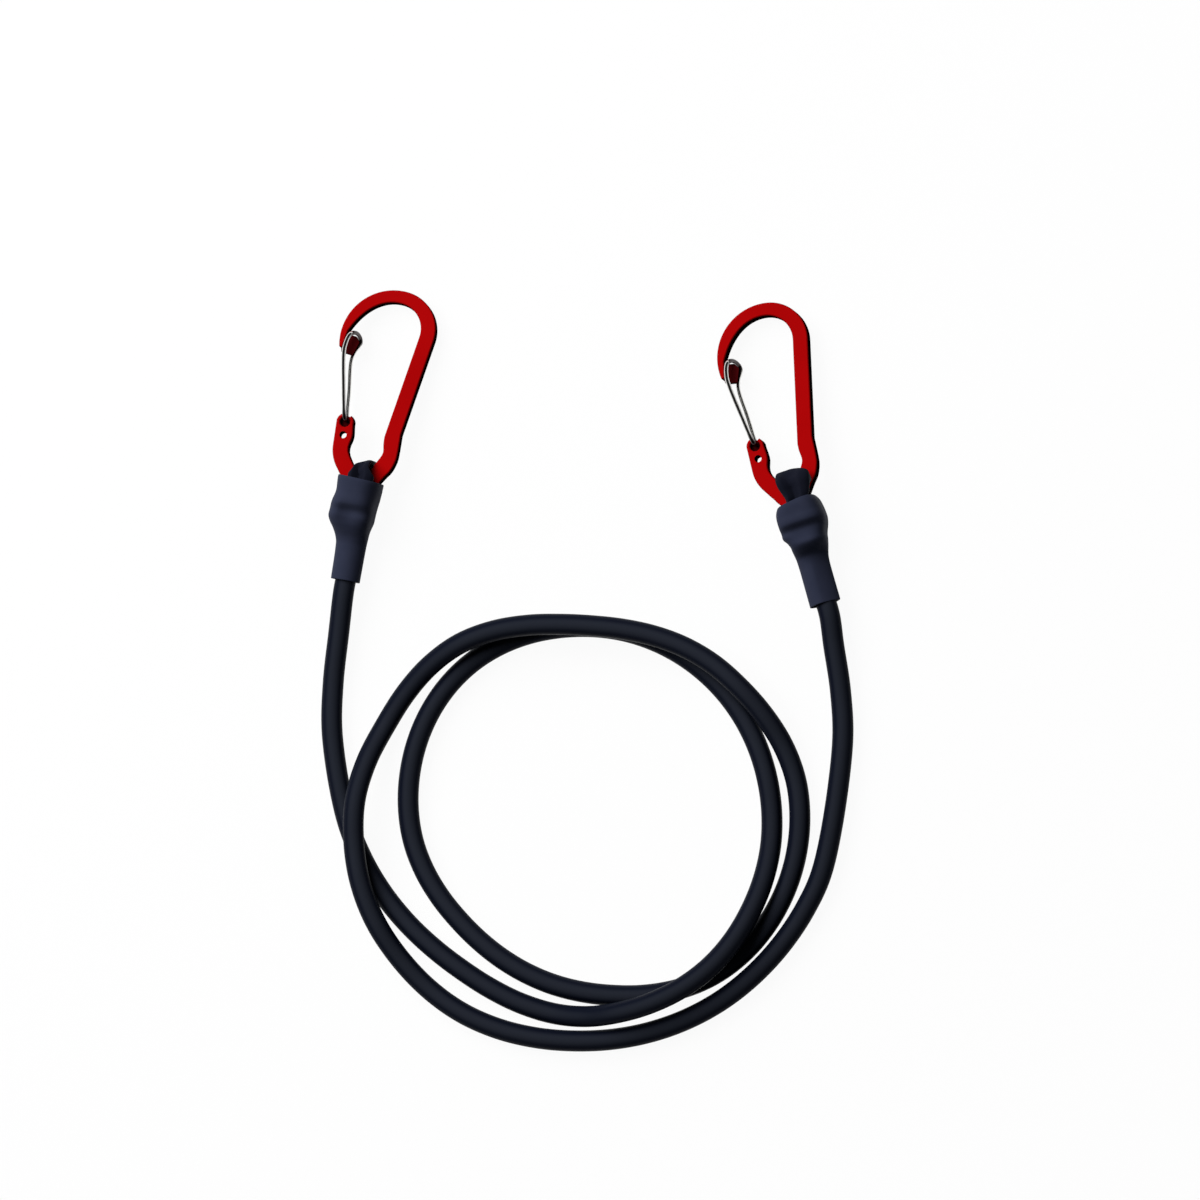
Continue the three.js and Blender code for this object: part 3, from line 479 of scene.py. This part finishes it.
def add_gate(side, finish):
    """Bent wire: two legs joined by a crown over the tooth."""
    head = PLATE_HALF + FIT_GAP + WIRE_RADIUS + GATE_TOP_SPREAD
    crown = []
    for step in range(1, GATE_CROWN_STEPS):
        angle = math.pi * step / GATE_CROWN_STEPS
        x = GATE_HEAD + GATE_CROWN_SKEW * step / GATE_CROWN_STEPS
        crown.append(Vector((x, CROWN_FOOT + GATE_CROWN * math.sin(angle), head * math.cos(angle))))
    path = smooth_line(gate_leg(1) + crown + gate_leg(-1)[::-1], WIRE_SPACING)
    place = plate_place(side)
    points = [place @ point * MM for point in path]
    wire = add_round_line(f"{side}_wire", points, WIRE_RADIUS * MM, finish)
    select_only(wire)
    bpy.ops.object.convert(target="MESH")
    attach(wire, f"{side}_gate")
    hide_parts(f"{side}_gate_wire")


# Pieces made ring by ring

def add_skin(name, rings, capped, finish):
    """Circle extruded from ring to ring, with the points of each new ring set in place."""
    bpy.ops.object.select_all(action="DESELECT")
    bpy.ops.mesh.primitive_circle_add(
        vertices=len(rings[0]), radius=MM, fill_type="NGON" if capped else "NOTHING",
    )
    skin = bpy.context.object
    skin.name = name
    skin.data.materials.append(finish)
    bpy.ops.object.mode_set(mode="EDIT")
    bpy.ops.mesh.select_all(action="SELECT")
    order = {i: i for i in range(len(rings[0]))}
    for step, ring in enumerate(rings):
        if step:
            bpy.ops.mesh.extrude_region_move()
        shape = bmesh.from_edit_mesh(skin.data)
        chosen = [vertex for vertex in shape.verts if vertex.select]
        if step:
            order = {vertex.index: order[ring_below(vertex).index] for vertex in chosen}
        for vertex in chosen:
            vertex.co = ring[order[vertex.index]] * MM
        bmesh.update_edit_mesh(skin.data)
    bpy.ops.mesh.select_all(action="SELECT")
    bpy.ops.mesh.normals_make_consistent(inside=False)
    bpy.ops.object.mode_set(mode="OBJECT")
    return skin


def ring_below(vertex):
    """Point of the ring before that a new point was extruded from."""
    for edge in vertex.link_edges:
        other = edge.other_vert(vertex)
        if not other.select:
            return other
    return None


def even_steps(count):
    return [step / count for step in range(count + 1)]


def spaced(start, end, step):
    """Values from start to end, about one step apart."""
    return [mix(start, end, part) for part in even_steps(max(1, round(abs(end - start) / step)))]


# Folded cord ends

def squared(value, power):
    """Sine or cosine drawn out so that a round ring turns squarish: a higher power is squarer."""
    return math.copysign(abs(value) ** (ELLIPSE / power), value)


def strap_ring(middle, inside, out, thickness, widths, power=ELLIPSE, groove=GROOVE_DEPTH, slant=0.0):
    """Flat ring of the folded cord, from its inside face outward, with a groove along the outside."""
    ring = []
    for side in range(STRAP_SIDES):
        angle = 2 * math.pi * side / STRAP_SIDES
        across = squared(math.sin(angle), power)
        depth = (1 - squared(math.cos(angle), power)) / 2
        x = middle + across * mix(*widths, depth)
        height = thickness * depth
        if depth > 0.5:
            height -= groove * max(1 - abs(across - GROOVE_PLACE) / GROOVE_HALF, 0.0)
        place = inside + out * height
        ring.append(Vector((x, place.x + slant * x * depth, place.y)))
    return ring


def strap_half(end, y):
    """Half-width of the folded cord at a height, widest in the fold."""
    return mix(end["strap_width"], end["fold_width"], smooth(y, FOLD_STARTS, FOLD_FULL)) / 2


def eye_room(y):
    """Half-width that the V of the eye leaves at a height above the bar."""
    return (y - EYE_APEX) * math.tan(math.radians(EYE_HALF_ANGLE)) - EYE_AIR


def off_middle(end, y, side):
    """How far a strand stands off the middle of the sleeve at a height."""
    top = end["crimp_top"]
    over_tail = smooth(y, end["tail_end"], top - CRIMP_LENGTH)
    offset = end["front_offset"] if side > 0 else end["back_offset"]
    to_fold = offset * smooth(y, top, top + FOLD_SHIFTS_OVER)
    return end["crimp_offset"] * (over_tail - smooth(y, top, top + STRAND_SPREAD)) + to_fold


def strand_ring(end, y, side):
    """Ring of the strand in front of the plate (side 1) or behind it (side -1)."""
    top = end["crimp_top"]
    inside = Vector((y, side * mix(STRAND_SPLIT, LOOP_INSIDE, smooth(y, top, top + STRAND_SPREAD))))
    width = strap_half(end, y)
    middle = off_middle(end, y, side)
    return strap_ring(middle, inside, Vector((0, side)), STRAP_THICKNESS, (width, width))


def fold_ring(end, angle, side):
    """Ring of the fold over the bar, where the cord narrows to pass the eye."""
    turned = math.degrees(angle)
    out = Vector((math.sin(angle), side * math.cos(angle)))
    corner = Vector((LOOP_TOP - LOOP_CORNER, side * (LOOP_INSIDE - LOOP_CORNER)))
    part = smooth(turned, *(end["front_taper"] if side > 0 else BACK_TAPER))
    over = smooth(turned, 0, 90)
    thickness = mix(STRAP_THICKNESS, end["fold_thickness"], over)
    inside = corner + out * LOOP_CORNER
    half = strap_half(end, inside.x + out.x * thickness / 2)
    widths = [mix(half, eye_room(LOOP_TOP + rise), part) for rise in (0, end["fold_thickness"])]
    power = mix(ELLIPSE, FOLD_SQUARENESS, smooth(turned, 0, GROOVE_FADES[0]))
    groove = GROOVE_DEPTH * (1 - smooth(turned, *GROOVE_FADES))
    slant = end["fold_slant"] * over
    offset = end["front_offset"] if side > 0 else end["back_offset"]
    middle = mix(offset, end["eye_offset"], part)
    return strap_ring(middle, inside, out, thickness, widths, power, groove, slant)


def flattening_ring(end, part):
    """Ring where the round cord goes flat, part 0 at the round end."""
    y = end["tail_end"] - CORD_FLATTENS * (1 - part)
    amount = smooth(part, 0, 1)
    thickness = mix(CORD_DIAMETER, STRAP_THICKNESS, amount)
    width = mix(CORD_DIAMETER, end["strap_width"], amount) / 2
    inside = Vector((y, mix(CORD_RADIUS - CORD_DROP, -STRAND_SPLIT, amount)))
    middle = off_middle(end, y, -1)
    return strap_ring(middle, inside, Vector((0, -1)), thickness, (width, width))


def add_loop(side, finish):
    """Cord end: up out of the sleeve, flat over the bar through the eye, and back down to its tail."""
    end = ENDS[side]
    heights = spaced(end["tail_end"], LOOP_TOP - LOOP_CORNER, STRAND_STEP_LENGTH)
    bends = [math.pi / 2 * part for part in even_steps(LOOP_BENDS)[1:]]
    mouth = Vector((end["foot"] + MOUTH_DEPTH, CORD_RADIUS - CORD_DROP))
    rings = [strap_ring(0, mouth, Vector((0, -1)), CORD_DIAMETER, (CORD_RADIUS, CORD_RADIUS))]
    rings += [flattening_ring(end, part) for part in even_steps(STRAND_STEPS)[:-1]]
    rings += [strand_ring(end, y, -1) for y in heights]
    rings += [fold_ring(end, angle, -1) for angle in bends]
    rings += [fold_ring(end, angle, 1) for angle in bends[::-1]]
    rings += [strand_ring(end, y, 1) for y in heights[::-1]]
    place = end_place(side)
    loop = add_skin(f"{side}_loop", [[place @ point for point in ring] for ring in rings], True, finish)
    bpy.ops.object.shade_smooth_by_angle(angle=RUBBER_SMOOTH_ANGLE)
    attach(loop, "cord")
    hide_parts(f"{side}_cord_loop")


# Shrink sleeves

def outline_at(stations, y):
    """Edges of the sleeve at a height, by a smooth curve through the stations."""
    last = len(stations) - 2
    first = max(i for i in range(last + 1) if i == 0 or stations[i][0] >= y)
    start, end = stations[first], stations[first + 1]
    before, after = stations[max(first - 1, 0)], stations[min(first + 2, last + 1)]
    span = end[0] - start[0]
    part = (y - start[0]) / span
    edges = []
    for i in range(1, len(start)):
        leaving = (end[i] - before[i]) / (end[0] - before[0]) * span
        arriving = (after[i] - start[i]) / (after[0] - start[0]) * span
        edges.append(curve(start[i], end[i], leaving, arriving, part))
    return edges


def sleeve_ring(side, y):
    """Squarish ring round the sleeve, with the crimp's bulges and the rim's slant and notch."""
    stations = SLEEVE_OUTLINES[side]
    rim = stations[0][0]
    left, right, top, bottom, power = outline_at(stations, y)
    ring = []
    for step in range(SLEEVE_SIDES):
        angle = 2 * math.pi * step / SLEEVE_SIDES
        across = squared(math.cos(angle), power)
        above = squared(math.sin(angle), power)
        x = mix(left, right, (1 + across) / 2)
        z = mix(bottom, top, (1 + above) / 2)
        for bulge_x, bulge_y, wide, long, high in SLEEVE_BULGES[side]:
            away = ((x - bulge_x) / wide) ** 2 + ((y - bulge_y) / long) ** 2
            z += high * math.exp(-away) * max(above, 0)
        leaning = TUBE_LEANS[side] * (1 - smooth(y, *LEAN_HEIGHTS)) * max(above, 0)
        z -= leaning * max(x - LEAN_STARTS, 0.0)
        near_rim = max((y - NOTCH_FADE) / (rim - NOTCH_FADE), 0.0)
        height = y + RIM_SLANTS[side] * x * near_rim
        if side == NOTCHED_SIDE and x < 0 and abs(z) < NOTCH_RADIUS:
            notch = NOTCH_CENTRE - math.sqrt(NOTCH_RADIUS ** 2 - z * z)
            height -= max(rim - notch, 0.0) * near_rim
        ring.append(Vector((x, height, z)))
    return ring


def add_sleeve(side, finish):
    """Shrunk tube that shows the crimp and the tail under it."""
    stations = SLEEVE_OUTLINES[side]
    heights = spaced(stations[0][0], stations[-1][0], SLEEVE_STEP)
    place = end_place(side)
    rings = [[place @ point for point in sleeve_ring(side, y)] for y in heights]
    sleeve = add_skin(f"{side}_sleeve", rings, False, finish)
    wall = sleeve.modifiers.new("wall", "SOLIDIFY")
    wall.thickness = SLEEVE_WALL * MM
    wall.offset = -1.0
    wall.use_even_offset = True
    bpy.ops.object.modifier_apply(modifier="wall")
    rounding = sleeve.modifiers.new("rounding", "BEVEL")
    rounding.width = RIM_ROUNDING * MM
    rounding.segments = RIM_STEPS
    rounding.limit_method = "ANGLE"
    rounding.angle_limit = RIM_ANGLE
    bpy.ops.object.modifier_apply(modifier="rounding")
    bpy.ops.object.shade_smooth_by_angle(angle=RUBBER_SMOOTH_ANGLE)
    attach(sleeve, "cord")
    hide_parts(f"{side}_shrink_sleeve")


# Shader maths

class Value:
    """A socket that takes part in sums: each operation adds a Math node."""

    def __init__(self, finish, socket):
        self.finish = finish
        self.socket = socket

    def sum(self, operation, *others):
        inputs = {i: item for i, item in enumerate((self, *others))}
        return self.finish.node("ShaderNodeMath", inputs, operation=operation)

    def __add__(self, other):
        return self.sum("ADD", other)

    def __sub__(self, other):
        return self.sum("SUBTRACT", other)

    def __rsub__(self, other):
        return self.finish.node("ShaderNodeMath", {0: other, 1: self}, operation="SUBTRACT")

    def __mul__(self, other):
        return self.sum("MULTIPLY", other)

    def absolute(self):
        return self.sum("ABSOLUTE")

    def larger(self, other):
        return self.sum("MAXIMUM", other)

    def ramp(self, low, high, low_value=0.0, high_value=1.0):
        inputs = {"Value": self, "From Min": low, "From Max": high}
        inputs.update({"To Min": low_value, "To Max": high_value})
        return self.finish.node("ShaderNodeMapRange", inputs, interpolation_type="SMOOTHSTEP")


class Finish:
    """One material, or a world's node tree, under construction."""

    def __init__(self, name, tree=None):
        self.material = None
        if tree is None:
            self.material = bpy.data.materials.new(name)
            self.material.use_nodes = True
            tree = self.material.node_tree
        self.tree = tree
        self.tree.nodes.clear()

    def node(self, kind, inputs=None, output=0, **settings):
        made = self.tree.nodes.new(kind)
        for name, setting in settings.items():
            setattr(made, name, setting)
        for name, item in (inputs or {}).items():
            if isinstance(item, Value):
                self.tree.links.new(item.socket, made.inputs[name])
            else:
                made.inputs[name].default_value = item
        return Value(self, made.outputs[output]) if made.outputs else None

    def place(self):
        return self.node("ShaderNodeTexCoord", output="Object")

    def from_point(self, point):
        """Place on the piece, measured from a point."""
        inputs = {0: self.place(), 1: point}
        return self.node("ShaderNodeVectorMath", inputs, operation="SUBTRACT")

    def axis(self, vector, name):
        return self.node("ShaderNodeSeparateXYZ", {"Vector": vector}, output=name)

    def along(self, vector, direction):
        """How far a vector reaches along a direction."""
        inputs = {0: vector, 1: direction}
        return self.node("ShaderNodeVectorMath", inputs, output="Value", operation="DOT_PRODUCT")

    def noise(self, scale, detail, vector=None):
        inputs = {"Vector": vector or self.place(), "Scale": scale, "Detail": detail}
        return self.node("ShaderNodeTexNoise", inputs)

    def patches(self, scale, detail, low, high):
        return self.noise(scale, detail).ramp(low, high)

    def stretched(self, scales):
        return self.node("ShaderNodeMapping", {"Vector": self.place(), "Scale": scales})

    def blend(self, part, first, second):
        inputs = {"Factor": part, 6: first, 7: second}
        return self.node("ShaderNodeMix", inputs, output=2, data_type="RGBA")

    def seen(self):
        """One for what the camera sees, also in a mirror or through glass, and zero for other light."""
        camera, glossy, through = (self.node("ShaderNodeLightPath", output=f"Is {kind} Ray")
                                   for kind in ("Camera", "Glossy", "Transmission"))
        return camera.larger(glossy).larger(through)

    def turned_away(self):
        """Zero where the surface faces the eye, one at its edge."""
        return self.node("ShaderNodeLayerWeight", output="Facing")

    def bump(self, height, distance, strength):
        inputs = {"Height": height, "Distance": distance, "Strength": strength}
        return self.node("ShaderNodeBump", inputs)

    def surface(self, **inputs):
        named = {name.replace("_", " "): item for name, item in inputs.items()}
        shader = self.node("ShaderNodeBsdfPrincipled", named)
        self.node("ShaderNodeOutputMaterial", {"Surface": shader})
        return self.material


# Materials

def roughness(patches, least, more):
    return patches * more + least


def rubber_finish():
    """Smooth black rubber with a faint bluish cast, with a painted highlight where it faces the eye and
    painted shade towards its edges.
    """
    rubber = Finish("black_rubber")
    bloom = rubber.patches(*RUBBER_PATCHES)
    grain = rubber.noise(RUBBER_GRAIN, GRAIN_DETAIL)
    # Painted highlight where the rubber faces the eye, fading to painted shade at its edges
    painted_highlight = rubber.turned_away().ramp(0.0, PAINTED_HIGHLIGHT_REACH, 1.0, 0.0)
    return rubber.surface(
        Base_Color=rubber.blend(painted_highlight, RUBBER_PAINTED_EDGE_SHADE, RUBBER_PAINTED_HIGHLIGHT),
        Roughness=roughness(bloom, *RUBBER_ROUGH),
        Specular_IOR_Level=BLACK_SHINE,
        Specular_Tint=BLUE_SHEEN,
        Normal=rubber.bump(grain, SOFT_GRAIN_DEPTH, GRAIN_STRENGTH),
    )


def strap_finish():
    """The same rubber where it is folded flat and drawn thin."""
    strap = Finish("folded_rubber")
    bloom = strap.patches(*STRAP_PATCHES)
    grain = strap.noise(RUBBER_GRAIN, GRAIN_DETAIL)
    return strap.surface(
        Base_Color=strap.blend(bloom, STRAP_DARK, STRAP_LIGHT),
        Roughness=roughness(bloom, *STRAP_ROUGH),
        Specular_IOR_Level=BLACK_SHINE,
        Specular_Tint=BLUE_SHEEN,
        Normal=strap.bump(grain, SOFT_GRAIN_DEPTH, GRAIN_STRENGTH),
    )


def sleeve_finish():
    """Shrunk tube: dark navy grey with a soft sheen."""
    tube = Finish("shrink_tube")
    cloud = tube.patches(*TUBE_PATCHES)
    grain = tube.noise(TUBE_GRAIN, GRAIN_DETAIL)
    return tube.surface(
        Base_Color=tube.blend(cloud, TUBE_DARK, TUBE_LIGHT),
        Roughness=roughness(cloud, *TUBE_ROUGH),
        Specular_IOR_Level=BLACK_SHINE,
        Specular_Tint=BLUE_SHEEN,
        Normal=tube.bump(grain, SOFT_GRAIN_DEPTH, TUBE_GRAIN_STRENGTH),
    )


def anodised_finish(side):
    """Red anodised plate: satin red faces, with painted shade that is near black on its cut sides and
    maroon in the recess where it is milled down.
    """
    plate = Finish(f"red_anodised_{side}")
    place = plate_place(side)
    across = place.col[2].to_3d()
    depth = plate.along(plate.from_point(place.translation * MM), across)
    front = depth.ramp(*(reach * MM for reach in FRONT_TURNS_RED))
    back = (0 - depth).ramp(*(reach * MM for reach in BACK_TURNS_RED))
    face = front.larger(back)
    normal = plate.node("ShaderNodeTexCoord", output="Normal")
    level = plate.along(normal, across).absolute().ramp(*LEVEL_NORMALS)
    cloud = plate.patches(*PLATE_PATCHES)
    grain = plate.noise(PLATE_GRAIN, GRAIN_DETAIL)
    red = plate.blend(cloud, RED_DARK, RED_LIGHT)
    # Painted shade wherever the plate is not at its front or back face: near black on the sides, maroon
    # on the recessed faces
    plate_painted_shade = plate.blend(level, SIDE_PAINTED_SHADE, RECESS_PAINTED_SHADE)
    return plate.surface(
        Base_Color=plate.blend(face, plate_painted_shade, red),
        Roughness=roughness(cloud, *PLATE_ROUGH),
        Metallic=face * RED_METAL,
        Specular_IOR_Level=0.0,
        Normal=plate.bump(grain, PLATE_GRAIN_DEPTH, GRAIN_STRENGTH),
    )


def wire_finish(side):
    """Polished spring wire with fine drawing lines, and painted shade at its toes and its bend over the
    tooth.
    """
    wire = Finish(f"spring_wire_{side}")
    place = plate_place(side)
    from_bar = wire.from_point(place.translation * MM)
    sideways = wire.along(from_bar, place.col[0].to_3d())
    behind = sideways.ramp(*((GATE_HEAD + reach) * MM for reach in CROWN_DARKENS))
    height = wire.along(from_bar, place.col[1].to_3d())
    above = height.ramp((CROWN_FOOT - CROWN_DARK_REACH) * MM, CROWN_FOOT * MM)
    toes = height.ramp(*((SEAT.y + reach) * MM for reach in TOE_DARKENS), 1.0, 0.0)
    # Painted shade at the toes and over the crown's bend
    dark = toes.larger(behind * above)
    lines = wire.noise(WIRE_LINES, LINE_DETAIL, wire.stretched(WIRE_LINE_STRETCH))
    tarnish = wire.patches(*WIRE_PATCHES)
    bright = wire.blend(tarnish, WIRE_BRIGHT, WIRE_DULL)
    return wire.surface(
        Base_Color=wire.blend(dark, bright, WIRE_PAINTED_SHADE),
        Metallic=1.0,
        Roughness=roughness(tarnish, *WIRE_ROUGH),
        Normal=wire.bump(lines, WIRE_LINE_DEPTH, GRAIN_STRENGTH),
    )


def crimp_finish():
    """Plain bent steel strip."""
    crimp = Finish("crimp_steel")
    lines = crimp.noise(CRIMP_LINES, LINE_DETAIL, crimp.stretched(CRIMP_LINE_STRETCH))
    return crimp.surface(
        Base_Color=crimp.blend(lines.ramp(*CRIMP_LINE_LEVELS), CRIMP_DARK, CRIMP_LIGHT),
        Metallic=1.0,
        Roughness=roughness(lines, *CRIMP_ROUGH),
        Normal=crimp.bump(lines, CRIMP_LINE_DEPTH, CRIMP_LINE_STRENGTH),
    )


# Stage

def add_stage():
    """Clear floor with a pale coat that keeps a faint shadow, soft light, and white surroundings."""
    bpy.ops.object.select_all(action="DESELECT")
    bpy.ops.mesh.primitive_plane_add(size=FLOOR_SIZE, location=(0, 0, -FLOOR_DROP * MM))
    floor = bpy.context.object
    floor.name = "floor"
    paper = Finish("pale_floor")
    colour = paper.blend(paper.seen(), FLOOR_BOUNCE, FLOOR_COLOUR)
    matt = paper.node("ShaderNodeBsdfDiffuse", {"Color": colour})
    clear = paper.node("ShaderNodeBsdfTransparent")
    passing = paper.seen().larger(paper.node("ShaderNodeLightPath", output="Is Shadow Ray"))
    both = paper.node("ShaderNodeMixShader", {0: passing * FLOOR_CLEAR, 1: matt, 2: clear})
    paper.node("ShaderNodeOutputMaterial", {"Surface": both})
    floor.data.materials.append(paper.material)
    add_softbox("key_light", KEY_PLACE, KEY_SIZE, KEY_POWER)
    world = bpy.data.worlds.new("studio")
    world.use_nodes = True
    studio = Finish("studio", world.node_tree)
    direction = studio.node("ShaderNodeTexCoord", output="Generated")
    wall = studio.axis(direction, "Z").ramp(*HORIZON_HEIGHTS, 1.0, ZENITH_LIGHT)
    level = studio.seen() * (wall - WORLD_LIGHT) + WORLD_LIGHT
    sky = studio.node("ShaderNodeBackground", {"Color": WHITE, "Strength": level})
    studio.node("ShaderNodeOutputWorld", {"Surface": sky})
    bpy.context.scene.world = world


def add_softbox(name, place, size, power):
    lamp = bpy.data.lights.new(name, "AREA")
    lamp.size = size
    lamp.energy = power
    light = bpy.data.objects.new(name, lamp)
    light.location = place
    light.visible_glossy = False
    light.rotation_euler = (VIEW_TARGET - Vector(place)).to_track_quat("-Z", "Y").to_euler()
    bpy.context.scene.collection.objects.link(light)


# Whole scene

add_camera()
rubber = rubber_finish()
add_cord(rubber)
strap = strap_finish()
crimp = crimp_finish()
tube = sleeve_finish()
for side in ENDS:
    add_frame(side, anodised_finish(side))
    add_gate(side, wire_finish(side))
    add_loop(side, strap)
    add_sleeve(side, tube)
    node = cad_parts[f"{side}_crimp_ferrule"]
    node.data.materials.clear()
    node.data.materials.append(crimp)
add_stage()
bpy.context.scene.view_settings.view_transform = "Standard"
